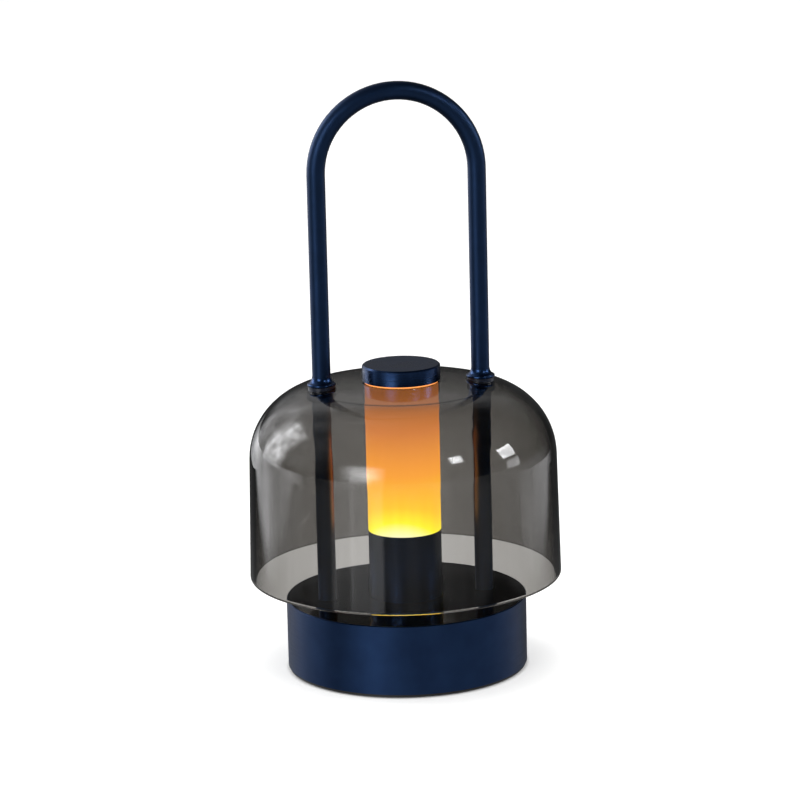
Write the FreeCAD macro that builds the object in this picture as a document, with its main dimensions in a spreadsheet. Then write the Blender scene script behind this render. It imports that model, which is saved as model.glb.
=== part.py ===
"""Lantern table lamp: a drum base, a smoked glass bell, a lit column and a bent tube handle.

Millimetres, +Z up. The origin is the middle of the footprint, on the surface that the lamp stands on.
The handle's two legs stand on the X axis. The front is at -Y, the charging port and button at +Y.
"""

import FreeCAD, Part
import math
import os
import re
import Sketcher

os.makedirs("parts", exist_ok=True)
doc = FreeCAD.newDocument("lantern_lamp")

# ---------------------------------------------------------------- driving dimensions

SIZES = {
    # base
    "base_diameter": 132.0,
    "base_height": 40.0,
    "foot_proud": 0.6,
    "foot_width": 7.0,
    "foot_inset": 3.0,
    "foot_sunk": 0.8,
    "cover_thickness": 1.4,
    "cover_inset": 0.7,
    "cover_screw_length": 8.0,
    "housing_wall": 2.0,
    "housing_round": 1.5,
    "deck_thickness": 3.0,
    "plate_thickness": 1.5,
    "rim_lip": 0.7,
    "edge_break": 0.4,
    "boss_inset": 16.0,
    "boss_diameter": 8.0,
    "boss_gap": 0.5,
    "ballast_thickness": 5.0,
    "ballast_gap": 4.0,
    # fits: parts that are fastened to each other, and parts that move
    "slip_gap": 0.1,
    "screw_gap": 0.2,
    "thread_gap": 0.02,
    "moving_gap": 0.3,
    # handle
    "handle_rise": 283.5,
    "leg_spacing": 87.5,
    "tube_diameter": 10.0,
    "tube_wall": 1.2,
    "leg_sunk": 1.0,
    "insert_length": 16.0,
    "leg_screw": 5.0,
    "leg_screw_length": 16.0,
    "leg_screw_head": 9.5,
    "leg_screw_head_height": 2.8,
    "leg_screw_key": 3.0,
    "key_depth_share": 0.6,
    "leg_washer": 12.0,
    "leg_washer_thickness": 1.0,
    # glass bell
    "shade_rise": 120.4,
    "shade_depth": 108.8,
    "rim_diameter": 171.0,
    "crown_radius": 420.0,
    "shoulder_radius": 40.0,
    "wall_flare": 1.3,
    "glass_thickness": 3.0,
    "rim_flat": 0.3,
    "column_gap": 0.5,
    # collars and gaskets that hold the glass to the legs
    "collar_diameter": 15.6,
    "collar_edge": 1.8,
    "collar_round": 0.7,
    "collar_neck": 3.0,
    "collar_sweep": 3.6,
    "collar_lip": 0.2,
    "gasket_diameter": 14.8,
    "gasket_thickness": 1.3,
    "gasket_lip": 0.8,
    "clamp_ring_height": 3.0,
    "grub_screw": 2.0,
    "grub_screw_key": 0.9,
    # column
    "column_diameter": 40.0,
    "sleeve_height": 37.0,
    "sleeve_wall": 1.4,
    "sleeve_floor": 4.0,
    "lead_hole": 8.0,
    "column_screw_circle": 26.0,
    "small_screw": 3.0,
    "small_screw_head": 5.6,
    "small_screw_head_height": 2.0,
    "small_screw_key": 2.0,
    "tenon_depth": 6.0,
    "diffuser_wall": 2.5,
    "sink_head": 8.0,
    "sink_foot": 2.0,
    "sink_stem": 18.0,
    "sink_bore": 6.0,
    "led_board_thickness": 1.6,
    "led_board_gap": 0.3,
    "led_size": 2.8,
    "led_height": 0.8,
    "led_circle": 18.0,
    # cap
    "cap_diameter": 42.6,
    "cap_height": 8.7,
    "cap_gap": 0.7,
    "cap_chamfer": 0.8,
    "spigot_depth": 7.0,
    "ring_section": 1.6,
    # battery
    "cell_diameter": 18.4,
    "cell_length": 65.0,
    "cell_button": 1.2,
    "cell_button_diameter": 5.5,
    "cell_gap": 0.4,
    "tray_wall": 1.5,
    "tray_floor": 1.2,
    "tray_height": 11.0,
    # control board, charging port and button
    "board_width": 44.0,
    "board_gap": 2.5,
    "board_thickness": 1.6,
    "board_setback": 7.4,
    "guide_wall": 1.8,
    "guide_grip": 1.2,
    "port_width": 9.0,
    "port_height": 3.3,
    "port_wall": 0.35,
    "port_depth": 6.2,
    "tongue_width": 6.7,
    "tongue_thickness": 0.7,
    "port_recess": 0.8,
    "port_rise": 11.0,
    "button_rise": 23.0,
    "button_diameter": 9.0,
    "button_proud": 0.8,
    "button_travel": 0.8,
    "button_flange": 1.5,
    "button_flange_thickness": 1.2,
    "switch_size": 6.0,
    "switch_depth": 3.5,
    "plunger_diameter": 3.2,
    "plunger_reach": 1.2,
    "plunger_bore": 2.8,
    "lead_diameter": 2.4,
    "lead_bend": 8.0,
    "lead_low": 1.05,
    "board_socket_width": 6.0,
    "board_socket_height": 5.0,
    "board_socket_depth": 4.5,
    "board_socket_aside": 12.0,
    "board_socket_rise": 9.0,
    "chip_size": 5.0,
    "chip_height": 1.6,
    "chip_pitch": 10.0,
    "choke_size": 7.0,
    "choke_height": 4.0,
}

# Places and sizes that follow from the driving dimensions.
WORKED = {
    "base_radius": "base_diameter / 2",
    "inner_radius": "base_radius - housing_wall",
    "boss_reach": "base_radius - boss_inset",
    "recess_radius": "base_radius - rim_lip",
    "skirt_level": "foot_proud + cover_thickness",
    "deck_top": "base_height - plate_thickness",
    "deck_under": "deck_top - deck_thickness",
    "ballast_top": "skirt_level + ballast_thickness",
    "cover_radius": "base_radius - cover_inset",
    "foot_outer": "cover_radius - foot_inset",
    "foot_inner": "foot_outer - foot_width",
    # handle
    "leg_reach": "leg_spacing / 2",
    "tube_radius": "tube_diameter / 2",
    "tube_bore": "tube_radius - tube_wall",
    "leg_bottom": "deck_top - leg_sunk",
    "arch_level": "base_height + handle_rise - tube_radius - leg_reach",
    # glass: a spherical crown, a shoulder tangent to it, and a wall that flares to the rim
    "crown_top": "base_height + shade_rise",
    "crown_centre": "crown_top - crown_radius",
    "rim_radius": "rim_diameter / 2",
    "rim_level": "crown_top - shade_depth",
    "wall_reach": "rim_radius * cos(wall_flare) + (rim_level - crown_centre) * sin(wall_flare)"
    " - shoulder_radius",
    "wall_run": "sqrt((crown_radius - shoulder_radius)^2 - wall_reach^2)",
    "shoulder_x": "wall_reach * cos(wall_flare) - wall_run * sin(wall_flare)",
    "shoulder_z": "wall_reach * sin(wall_flare) + wall_run * cos(wall_flare) + crown_centre",
    "crown_slope_x": "shoulder_x / (crown_radius - shoulder_radius)",
    "crown_slope_z": "(shoulder_z - crown_centre) / (crown_radius - shoulder_radius)",
    "inner_crown": "crown_radius - glass_thickness",
    "inner_shoulder": "shoulder_radius - glass_thickness",
    "column_radius": "column_diameter / 2",
    "column_hole": "column_radius + column_gap",
    "hole_level": "crown_centre + sqrt(crown_radius^2 - column_hole^2)",
    "hole_under": "crown_centre + sqrt(inner_crown^2 - column_hole^2)",
    # where the glass crosses the legs
    "seat_level": "crown_centre + sqrt(crown_radius^2 - leg_reach^2)",
    "seat_under": "crown_centre + sqrt(inner_crown^2 - leg_reach^2)",
    "seat_middle": "(seat_level + seat_under) / 2",
    "leg_hole_radius": "tube_radius + slip_gap + gasket_lip",
    "collar_level": "seat_level + gasket_thickness",
    "clamp_level": "seat_under - gasket_thickness",
    # column
    "sleeve_top": "base_height + sleeve_height",
    "sleeve_bore": "column_radius - sleeve_wall",
    "tenon_level": "sleeve_top - tenon_depth",
    "diffuser_bore": "column_radius - diffuser_wall",
    "cap_level": "hole_level + cap_gap",
    "cap_top": "cap_level + cap_height",
    # board, port and button
    "board_height": "deck_under - ballast_top - board_gap",
    "board_outer": "inner_radius - board_setback",
    "board_inner": "board_outer - board_thickness",
    "port_level": "skirt_level + port_rise",
    "button_level": "skirt_level + button_rise",
    "switch_front": "board_outer + switch_depth",
    "plunger_front": "switch_front + plunger_reach",
    "flange_front": "inner_radius - 2 * moving_gap",
    "cell_level": "ballast_top + tray_floor + cell_diameter / 2",
    "tray_reach_x": "cell_length / 2 + cell_gap",
    "tray_reach_y": "cell_diameter + 1.5 * cell_gap",
    "lead_level": "(cell_level + cell_diameter / 2 + deck_under) / 2 - lead_low",
    "socket_level": "ballast_top + board_socket_rise",
    "socket_face": "board_inner - board_socket_depth",
}


def make_sheet(name, cells):
    """One sheet: a name in column A and its value, under that alias, in column B."""
    sheet = doc.addObject("Spreadsheet::Sheet", name)
    for row, (alias, text) in enumerate(cells.items(), start=1):
        sheet.set(f"A{row}", alias)
        sheet.setAlias(f"B{row}", alias)
        sheet.set(f"B{row}", text)
    return sheet


SHEET_OF = {**dict.fromkeys(SIZES, "Size"), **dict.fromkeys(WORKED, "Place")}


def link(text):
    """An expression with each size's sheet written before its alias."""
    return re.sub(r"[a-z]+(_[a-z]+)+", lambda m: f"{SHEET_OF[m[0]]}.{m[0]}", text)


sizes = make_sheet("Size", {alias: str(number) for alias, number in SIZES.items()})
places = make_sheet("Place", {alias: "=" + link(text) for alias, text in WORKED.items()})
doc.recompute()


def value(text):
    """What an expression comes to now."""
    return float(sizes.evalExpression(link(text)))


def bind(thing, **properties):
    """Ties properties of an object to expressions."""
    for name, text in properties.items():
        thing.setExpression(name, link(text))


# ---------------------------------------------------------------- sketches

ORIGIN_POINT = (-1, 1)
ACROSS, UP = -1, -2
START, END, CENTRE = range(1, 4)


def new_body(label):
    body = doc.addObject("PartDesign::Body", label)
    body.Label = label
    body.AllowCompound = True
    return body


def origin_of(body, role):
    """One of the body's own origin planes or axes."""
    return next(item for item in body.Origin.OriginFeatures if item.Role == role)


def new_sketch(body, plane, level="0", aside="0"):
    """A sketch in one of the body's planes, lifted off it by level and moved sideways by aside."""
    sketch = body.newObject("Sketcher::SketchObject", f"{body.Label}_sketch")
    sketch.AttachmentSupport = [(origin_of(body, plane + "_Plane"), "")]
    sketch.MapMode = "FlatFace"
    sketch.setExpression("AttachmentOffset.Base.z", link(level))
    sketch.setExpression("AttachmentOffset.Base.x", link(aside))
    return sketch


def dimension(sketch, text, kind, *where):
    """Adds a dimension that an expression drives."""
    index = sketch.addConstraint(Sketcher.Constraint(kind, *where, value(text)))
    sketch.setExpression(f"Constraints[{index}]", link(text))


def place_point(sketch, geometry, end, x, y):
    """Fixes a point by its two distances from the sketch's origin."""
    for text, kind, axis in ((x, "DistanceX", UP), (y, "DistanceY", ACROSS)):
        if text == "0":
            sketch.addConstraint(Sketcher.Constraint("PointOnObject", geometry, end, axis))
        else:
            dimension(sketch, text, kind, *ORIGIN_POINT, geometry, end)


def arc_between(first, last, radius, bend):
    """The short arc from first to last, turning left where bend is 1 and right where it is -1."""
    run = last - first
    left = FreeCAD.Vector(-run.y, run.x, 0).normalize() * bend
    height = math.sqrt(max(radius**2 - (run.Length / 2) ** 2, 0))
    centre = (first + last) / 2 + left * height
    angles = [math.atan2(p.y - centre.y, p.x - centre.x) for p in (first, last)]
    circle = Part.Circle(centre, FreeCAD.Vector(0, 0, 1), radius)
    return Part.ArcOfCircle(circle, *(angles if bend == 1 else reversed(angles)))


def draw_chain(sketch, corners, closed=True):
    """Joined lines and arcs. A corner is (x, y), or (x, y, radius, bend) where an arc leads to it."""
    spots = [FreeCAD.Vector(value(x), value(y), 0) for x, y, *_ in corners]
    ends = []
    for i, (x, y, *arc) in enumerate(corners):
        if i == 0 and not closed:
            continue
        if arc:
            radius, bend = arc
            shape = arc_between(spots[i - 1], spots[i], value(radius), bend)
        else:
            shape, bend = Part.LineSegment(spots[i - 1], spots[i]), 1
        index = sketch.addGeometry(shape, False)
        first, last = (START, END) if bend == 1 else (END, START)
        ends.append((index, first, last))
        place_point(sketch, index, last, x, y)
        if arc:
            dimension(sketch, radius, "Radius", index)
    if not closed:
        index, first, _ = ends[0]
        x, y, *_ = corners[0]
        place_point(sketch, index, first, x, y)
    pairs = zip(ends, ends[1:] + ends[:1]) if closed else zip(ends, ends[1:])
    for (one, _, last), (other, first, _) in pairs:
        sketch.addConstraint(Sketcher.Constraint("Coincident", one, last, other, first))


def draw_circle(sketch, x, y, diameter):
    middle = FreeCAD.Vector(value(x), value(y), 0)
    circle = Part.Circle(middle, FreeCAD.Vector(0, 0, 1), value(diameter) / 2)
    index = sketch.addGeometry(circle, False)
    place_point(sketch, index, CENTRE, x, y)
    dimension(sketch, diameter, "Diameter", index)


def draw_slot(sketch, y, width, height):
    """A slot with round ends, centred on the sketch's upright axis."""
    half = f"(({width}) - ({height})) / 2"
    middles = [FreeCAD.Vector(side * value(half), value(y), 0) for side in (1, -1)]
    radius = value(height) / 2
    up = math.pi / 2
    arcs = []
    for side, middle in zip((1, -1), middles):
        circle = Part.Circle(middle, FreeCAD.Vector(0, 0, 1), radius)
        arc = Part.ArcOfCircle(circle, -side * up, side * up if side == 1 else 3 * up)
        arcs.append(sketch.addGeometry(arc, False))
    for side, arc in zip(("", "-"), arcs):
        place_point(sketch, arc, CENTRE, f"{side}({half})", y)
        dimension(sketch, f"({height}) / 2", "Radius", arc)
    offset = FreeCAD.Vector(0, radius, 0)
    for first, last, one, other in (
        (middles[0] + offset, middles[1] + offset, (arcs[0], END), (arcs[1], START)),
        (middles[1] - offset, middles[0] - offset, (arcs[1], END), (arcs[0], START)),
    ):
        line = sketch.addGeometry(Part.LineSegment(first, last), False)
        sketch.addConstraint(Sketcher.Constraint("Tangent", line, START, *one))
        sketch.addConstraint(Sketcher.Constraint("Tangent", line, END, *other))


# ---------------------------------------------------------------- features


def turn(body, corners, aside="0", cut=False):
    """Revolves an outline of the XZ plane about the upright axis at aside, adding or cutting."""
    before = body.Shape.Volume if cut else 0
    sketch = new_sketch(body, "XZ", aside=aside)
    draw_chain(sketch, corners)
    kind = "Groove" if cut else "Revolution"
    feature = body.newObject("PartDesign::" + kind, f"{body.Label}_{kind.lower()}")
    feature.Profile = sketch
    feature.ReferenceAxis = (sketch, ["V_Axis"])
    feature.Angle = 360
    doc.recompute()
    if cut and not body.Shape.Volume < before:
        raise ValueError(f"{body.Label}: a groove cut nothing")
    return feature


def pad(body, sketch, length):
    """Pads a sketch along its normal."""
    feature = body.newObject("PartDesign::Pad", f"{body.Label}_pad")
    feature.Profile = sketch
    bind(feature, Length=length)
    doc.recompute()
    return feature


def pocket(body, sketch, length, back=False):
    """Cuts a sketch against its normal, or along it if back."""
    before = body.Shape.Volume
    feature = body.newObject("PartDesign::Pocket", f"{body.Label}_pocket")
    feature.Profile = sketch
    feature.Reversed = back
    bind(feature, Length=length)
    doc.recompute()
    if not body.Shape.Volume < before:
        raise ValueError(f"{body.Label}: a pocket cut nothing")
    return feature


def ring_of(body, features, count):
    """Repeats features evenly round the Z axis."""
    pattern = body.newObject("PartDesign::PolarPattern", f"{body.Label}_ring")
    pattern.Originals = features
    pattern.Axis = (origin_of(body, "Z_Axis"), [""])
    pattern.Angle = 360
    pattern.Occurrences = count
    body.Tip = pattern
    doc.recompute()
    return pattern


def round_off(body, radius, spots):
    """Fillets the turned edges that pass through the given (x, z) places."""
    base = body.Tip
    edges = base.Shape.Edges
    names = []
    for x, z in spots:
        point = Part.Vertex(value(x), 0, value(z))
        nearest = min(range(len(edges)), key=lambda i: edges[i].distToShape(point)[0])
        names.append(f"Edge{nearest + 1}")
    feature = body.newObject("PartDesign::Fillet", f"{body.Label}_fillet")
    feature.Base = (base, names)
    bind(feature, Radius=radius)
    doc.recompute()
    if not feature.Shape.isValid() or len(feature.Shape.Faces) <= len(base.Shape.Faces):
        raise ValueError(f"{body.Label}: a fillet rounded nothing")


def mirror_of(body, features):
    """Repeats features on the other side of the YZ plane."""
    mirror = body.newObject("PartDesign::Mirrored", f"{body.Label}_mirror")
    mirror.Originals = features
    mirror.MirrorPlane = (origin_of(body, "YZ_Plane"), [""])
    body.Tip = mirror
    doc.recompute()
    return mirror


def turned(label, corners):
    """A piece turned about the lamp's own axis."""
    body = new_body(label)
    turn(body, corners)
    return body


def turned_pair(label, corners):
    """A turned piece on each leg of the handle. Its outline starts from the leg's axis."""
    body = new_body(label)
    mirror_of(body, [turn(body, corners, aside="leg_reach")])
    return body


def hexagon(x, y, across):
    """The six corners of a hexagon, given the distance across its flats."""
    reach = f"({across}) / sqrt(3)"
    return [
        (f"{x} + {reach} * cos({60 * step})", f"{y} + {reach} * sin({60 * step})")
        for step in range(6)
    ]


def screws(label, aside, count, head, thread, low, shank_low, tip, key, sunk=False):
    """Screws that point up, with a hexagon socket for the key. sunk gives a cone-shaped head."""
    body = new_body(label)
    thread_radius = f"{thread} / 2 - thread_gap"
    head_radius = f"{head} / 2"
    shoulder = head_radius if not sunk else thread_radius
    corners = [
        ("0", low),
        (head_radius, low),
        (shoulder, shank_low),
        (thread_radius, shank_low),
        (thread_radius, tip),
        ("0", tip),
    ]
    if sunk:
        corners.pop(3)
    turning = turn(body, corners, aside)
    sketch = new_sketch(body, "XY", level=low)
    draw_chain(sketch, hexagon(aside, "0", key))
    cut = pocket(body, sketch, f"({shank_low} - ({low})) * key_depth_share", back=True)
    ring_of(body, [turning, cut], count)
    return body


# ---------------------------------------------------------------- base

LEGS = 2
BOSSES = 4
COLUMN_SCREWS = 3


def make_base_housing():
    """The drum: a cup turned upside down, with a thin lip round its recessed deck."""
    body = turned(
        "base_housing",
        [
            ("base_radius", "skirt_level"),
            ("base_radius", "base_height - edge_break"),
            ("base_radius - edge_break", "base_height"),
            ("recess_radius", "base_height"),
            ("recess_radius", "deck_top"),
            ("lead_hole / 2", "deck_top"),
            ("lead_hole / 2", "deck_under"),
            ("inner_radius", "deck_under"),
            ("inner_radius", "skirt_level"),
        ],
    )
    round_off(body, "housing_round", [("inner_radius", "deck_under")])
    # bosses for the cover screws, hanging from the deck
    sketch = new_sketch(body, "XY", level="skirt_level")
    for size in ("boss_diameter", "small_screw"):
        draw_circle(sketch, "boss_reach * cos(45)", "boss_reach * sin(45)", size)
    ring_of(body, [pad(body, sketch, "deck_under - skirt_level")], BOSSES)
    # upright channels that hold the control board's two edges
    sketch = new_sketch(body, "XY", level="ballast_top")
    near = "board_width / 2 - guide_grip"
    stop = "board_width / 2 + slip_gap"
    far = "board_width / 2 + slip_gap + guide_wall"
    low, high = "board_inner - slip_gap", "board_outer + slip_gap"
    draw_chain(
        sketch,
        [
            (near, low + " - guide_wall"),
            (far, low + " - guide_wall"),
            (far, high + " + guide_wall"),
            (near, high + " + guide_wall"),
            (near, high),
            (stop, high),
            (stop, low),
            (near, low),
        ],
    )
    mirror_of(body, [pad(body, sketch, "deck_under - ballast_top")])
    # seats for the handle's legs, and the screw holes through the deck
    for size, depth in (
        ("tube_diameter + 2 * slip_gap", "leg_sunk"),
        ("leg_screw + 2 * screw_gap", "deck_thickness"),
    ):
        sketch = new_sketch(body, "XY", level="deck_top")
        draw_circle(sketch, "leg_reach", "0", size)
        mirror_of(body, [pocket(body, sketch, depth)])
    sketch = new_sketch(body, "XY", level="deck_top")
    draw_circle(sketch, "column_screw_circle / 2", "0", "small_screw + 2 * screw_gap")
    ring_of(body, [pocket(body, sketch, "deck_thickness")], COLUMN_SCREWS)
    # openings in the rear wall for the charging port and the button
    sketch = new_sketch(body, "XZ")
    draw_slot(sketch, "port_level", "port_width + 2 * slip_gap", "port_height + 2 * slip_gap")
    pocket(body, sketch, "base_radius")
    sketch = new_sketch(body, "XZ")
    draw_circle(sketch, "0", "button_level", "button_diameter + 2 * moving_gap")
    pocket(body, sketch, "base_radius")
    return body


def make_top_plate():
    """The black disc set in the top of the drum."""
    body = new_body("top_plate")
    sketch = new_sketch(body, "XY", level="deck_top")
    draw_circle(sketch, "0", "0", "2 * (recess_radius - slip_gap)")
    draw_circle(sketch, "0", "0", "lead_hole")
    pad(body, sketch, "plate_thickness")
    for reach, size, count in (
        ("leg_reach", "tube_diameter + 2 * slip_gap", LEGS),
        ("column_screw_circle / 2", "small_screw + 2 * screw_gap", COLUMN_SCREWS),
    ):
        sketch = new_sketch(body, "XY", level="base_height")
        draw_circle(sketch, reach, "0", size)
        ring_of(body, [pocket(body, sketch, "plate_thickness")], count)
    return body


def turn_by_eighth(body):
    """Turns a piece whose four screws lie on the X and Y axes to bring them under the bosses."""
    body.Placement = FreeCAD.Placement(
        FreeCAD.Vector(), FreeCAD.Rotation(FreeCAD.Vector(0, 0, 1), 45)
    )
    return body


def make_bottom_cover():
    """The black bottom plate, with a groove for the foot ring and four countersunk holes."""
    body = turned(
        "bottom_cover",
        [
            ("0", "foot_proud"),
            ("foot_inner", "foot_proud"),
            ("foot_inner", "foot_proud + foot_sunk"),
            ("foot_outer", "foot_proud + foot_sunk"),
            ("foot_outer", "foot_proud"),
            ("cover_radius", "foot_proud"),
            ("cover_radius", "skirt_level"),
            ("0", "skirt_level"),
        ],
    )
    countersink = turn(
        body,
        [
            ("0", "foot_proud"),
            ("small_screw_head / 2 + slip_gap", "foot_proud"),
            ("small_screw / 2 + slip_gap", "skirt_level"),
            ("0", "skirt_level"),
        ],
        aside="boss_reach",
        cut=True,
    )
    ring_of(body, [countersink], BOSSES)
    return turn_by_eighth(body)


def make_foot_ring():
    """The rubber ring that the lamp stands on."""
    return turned(
        "foot_ring",
        [
            ("foot_inner + slip_gap", "0"),
            ("foot_outer - slip_gap", "0"),
            ("foot_outer - slip_gap", "foot_proud + foot_sunk"),
            ("foot_inner + slip_gap", "foot_proud + foot_sunk"),
        ],
    )


def make_ballast_plate():
    """The steel disc that keeps the lamp upright, pierced for the bosses."""
    body = turned(
        "ballast_plate",
        [
            ("0", "skirt_level"),
            ("inner_radius - ballast_gap", "skirt_level"),
            ("inner_radius - ballast_gap", "ballast_top"),
            ("0", "ballast_top"),
        ],
    )
    sketch = new_sketch(body, "XY", level="ballast_top")
    draw_circle(sketch, "boss_reach", "0", "boss_diameter + 2 * boss_gap")
    ring_of(body, [pocket(body, sketch, "ballast_thickness")], BOSSES)
    return turn_by_eighth(body)


def make_cover_screws():
    body = screws(
        "cover_screws",
        aside="boss_reach",
        count=BOSSES,
        head="small_screw_head",
        thread="small_screw",
        low="foot_proud",
        shank_low="skirt_level",
        tip="skirt_level + cover_screw_length",
        key="small_screw_key",
        sunk=True,
    )
    return turn_by_eighth(body)


# ---------------------------------------------------------------- battery and electronics


def rectangle(x_low, x_high, y_low, y_high):
    return [(x_low, y_low), (x_high, y_low), (x_high, y_high), (x_low, y_high)]


def make_battery_holder():
    """An open tray that stands on the ballast and holds two round cells side by side."""
    body = new_body("battery_holder")
    for level, wall in (("ballast_top", "tray_wall"), ("ballast_top + tray_height", "0")):
        sketch = new_sketch(body, "XY", level=level)
        x, y = f"tray_reach_x + {wall}", f"tray_reach_y + {wall}"
        draw_chain(sketch, rectangle(f"-({x})", x, f"-({y})", y))
        if wall == "0":
            pocket(body, sketch, "tray_height - tray_floor")
        else:
            pad(body, sketch, "tray_height")
    return body


def make_battery_cells():
    """Two round cells lying along X, each with its button end."""
    body = new_body("battery_cells")
    for size, level, length in (
        ("cell_diameter", "-cell_length / 2", "cell_length - cell_button"),
        ("cell_button_diameter", "cell_length / 2 - cell_button", "cell_button"),
    ):
        sketch = new_sketch(body, "YZ", level=level)
        for side in ("", "-"):
            draw_circle(sketch, f"{side}(cell_diameter + cell_gap) / 2", "cell_level", size)
        pad(body, sketch, length)
    return body


def make_control_board():
    """The charging and dimming board, standing in the housing's channels."""
    body = new_body("control_board")
    sketch = new_sketch(body, "XY", level="ballast_top")
    draw_chain(sketch, rectangle("-board_width / 2", "board_width / 2", "board_inner", "board_outer"))
    pad(body, sketch, "board_height")
    return body


def make_board_components():
    """The two lead sockets, two chips and the choke on the board's inner face."""
    body = new_body("board_components")
    socket = ("board_socket_width", "board_socket_height", "board_socket_depth")
    chip = ("chip_size", "chip_size", "chip_height")
    choke = ("choke_size", "choke_size", "choke_height")
    for x, z, (width, height, depth) in (
        ("0", "lead_level", socket),
        ("board_socket_aside", "socket_level", socket),
        ("-chip_pitch", "lead_level", chip),
        ("0", "socket_level", chip),
        ("-chip_pitch", "socket_level", choke),
    ):
        sketch = new_sketch(body, "XZ", level="-board_inner")
        half_x, half_z = f"{width} / 2", f"{height} / 2"
        draw_chain(
            sketch,
            rectangle(f"{x} - {half_x}", f"{x} + {half_x}", f"{z} - {half_z}", f"{z} + {half_z}"),
        )
        pad(body, sketch, depth)
    return body


def make_usb_c_socket():
    """The charging port: a pressed shell with its contact tongue, standing out from the board."""
    body = new_body("usb_c_socket")
    sketch = new_sketch(body, "XZ", level="-(base_radius - port_recess)")
    draw_slot(sketch, "port_level", "port_width", "port_height")
    pad(body, sketch, "base_radius - port_recess - board_outer")
    sketch = new_sketch(body, "XZ", level="-(base_radius - port_recess)")
    draw_slot(sketch, "port_level", "port_width - 2 * port_wall", "port_height - 2 * port_wall")
    tongue = rectangle(
        "-tongue_width / 2",
        "tongue_width / 2",
        "port_level - tongue_thickness / 2",
        "port_level + tongue_thickness / 2",
    )
    draw_chain(sketch, tongue)
    pocket(body, sketch, "port_depth", back=True)
    return body


def button_circle(body, level, diameter):
    """A circle round the button's axis, in an upright plane at depth level behind the lamp's middle."""
    sketch = new_sketch(body, "XZ", level=f"-({level})")
    draw_circle(sketch, "0", "button_level", diameter)
    return sketch


def make_push_switch():
    """The sprung switch on the board behind the button, with the bore that its plunger slides in."""
    body = new_body("push_switch")
    half = "switch_size / 2"
    sketch = new_sketch(body, "XZ", level="-switch_front")
    draw_chain(
        sketch, rectangle(f"-{half}", half, f"button_level - {half}", f"button_level + {half}")
    )
    pad(body, sketch, "switch_depth")
    sketch = button_circle(body, "switch_front", "plunger_diameter + 2 * moving_gap")
    pocket(body, sketch, "plunger_bore", back=True)
    return body


def make_switch_plunger():
    """The switch's plunger, which the button's stem pushes."""
    body = new_body("switch_plunger")
    sketch = button_circle(body, "plunger_front", "plunger_diameter")
    pad(body, sketch, "plunger_reach + plunger_bore - button_travel - moving_gap")
    return body


def make_power_button():
    """The push button: a round key with a flange behind the wall and a stem to the switch."""
    body = new_body("power_button")
    flange_back = "flange_front - button_flange_thickness"
    for front, back, size in (
        ("base_radius + button_proud", "flange_front", "button_diameter"),
        ("flange_front", flange_back, "button_diameter + 2 * button_flange"),
        (flange_back, "plunger_front", "plunger_diameter"),
    ):
        pad(body, button_circle(body, front, size), f"({front}) - ({back})")
    return body


# ---------------------------------------------------------------- column


def make_column_sleeve():
    """The turned metal sleeve that stands on the base, closed at the bottom."""
    body = turned(
        "column_sleeve",
        [
            ("lead_hole / 2", "base_height"),
            ("column_radius", "base_height"),
            ("column_radius", "sleeve_top"),
            ("sleeve_bore", "sleeve_top"),
            ("sleeve_bore", "base_height + sleeve_floor"),
            ("lead_hole / 2", "base_height + sleeve_floor"),
        ],
    )
    sketch = new_sketch(body, "XY", level="base_height")
    draw_circle(sketch, "column_screw_circle / 2", "0", "small_screw")
    ring_of(body, [pocket(body, sketch, "sleeve_floor", back=True)], COLUMN_SCREWS)
    return body


def make_column_screws():
    return screws(
        "column_screws",
        aside="column_screw_circle / 2",
        count=COLUMN_SCREWS,
        head="small_screw_head",
        thread="small_screw",
        low="deck_under - small_screw_head_height",
        shank_low="deck_under",
        tip="base_height + sleeve_floor",
        key="small_screw_key",
    )


def make_heat_sink():
    """A turned spool inside the sleeve: it carries the light board and draws its heat down."""
    return turned(
        "heat_sink",
        [
            ("sink_bore / 2", "base_height + sleeve_floor"),
            ("sleeve_bore - slip_gap", "base_height + sleeve_floor"),
            ("sleeve_bore - slip_gap", "base_height + sleeve_floor + sink_foot"),
            ("sink_stem / 2", "base_height + sleeve_floor + sink_foot"),
            ("sink_stem / 2", "tenon_level - sink_head"),
            ("sleeve_bore - slip_gap", "tenon_level - sink_head"),
            ("sleeve_bore - slip_gap", "tenon_level"),
            ("sink_bore / 2", "tenon_level"),
        ],
    )


def make_led_board():
    """The metal-cored disc that the light emitters are soldered to."""
    return turned(
        "led_board",
        [
            ("0", "tenon_level"),
            ("diffuser_bore - led_board_gap", "tenon_level"),
            ("diffuser_bore - led_board_gap", "tenon_level + led_board_thickness"),
            ("0", "tenon_level + led_board_thickness"),
        ],
    )


def make_led_emitters():
    """Six light emitters in a ring and one in the middle."""
    body = new_body("led_emitters")
    half = "led_size / 2"
    level = "tenon_level + led_board_thickness"
    sketch = new_sketch(body, "XY", level=level)
    draw_chain(
        sketch,
        rectangle(f"led_circle / 2 - {half}", f"led_circle / 2 + {half}", f"-{half}", half),
    )
    ring_of(body, [pad(body, sketch, "led_height")], 6)
    sketch = new_sketch(body, "XY", level=level)
    draw_chain(sketch, rectangle(f"-{half}", half, f"-{half}", half))
    pad(body, sketch, "led_height")
    return body


def make_diffuser_tube():
    """The frosted tube: flush with the sleeve, with a thinner tenon that drops inside it."""
    return turned(
        "diffuser_tube",
        [
            ("diffuser_bore", "tenon_level"),
            ("sleeve_bore - slip_gap", "tenon_level"),
            ("sleeve_bore - slip_gap", "sleeve_top"),
            ("column_radius", "sleeve_top"),
            ("column_radius", "cap_level"),
            ("diffuser_bore", "cap_level"),
        ],
    )


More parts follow.
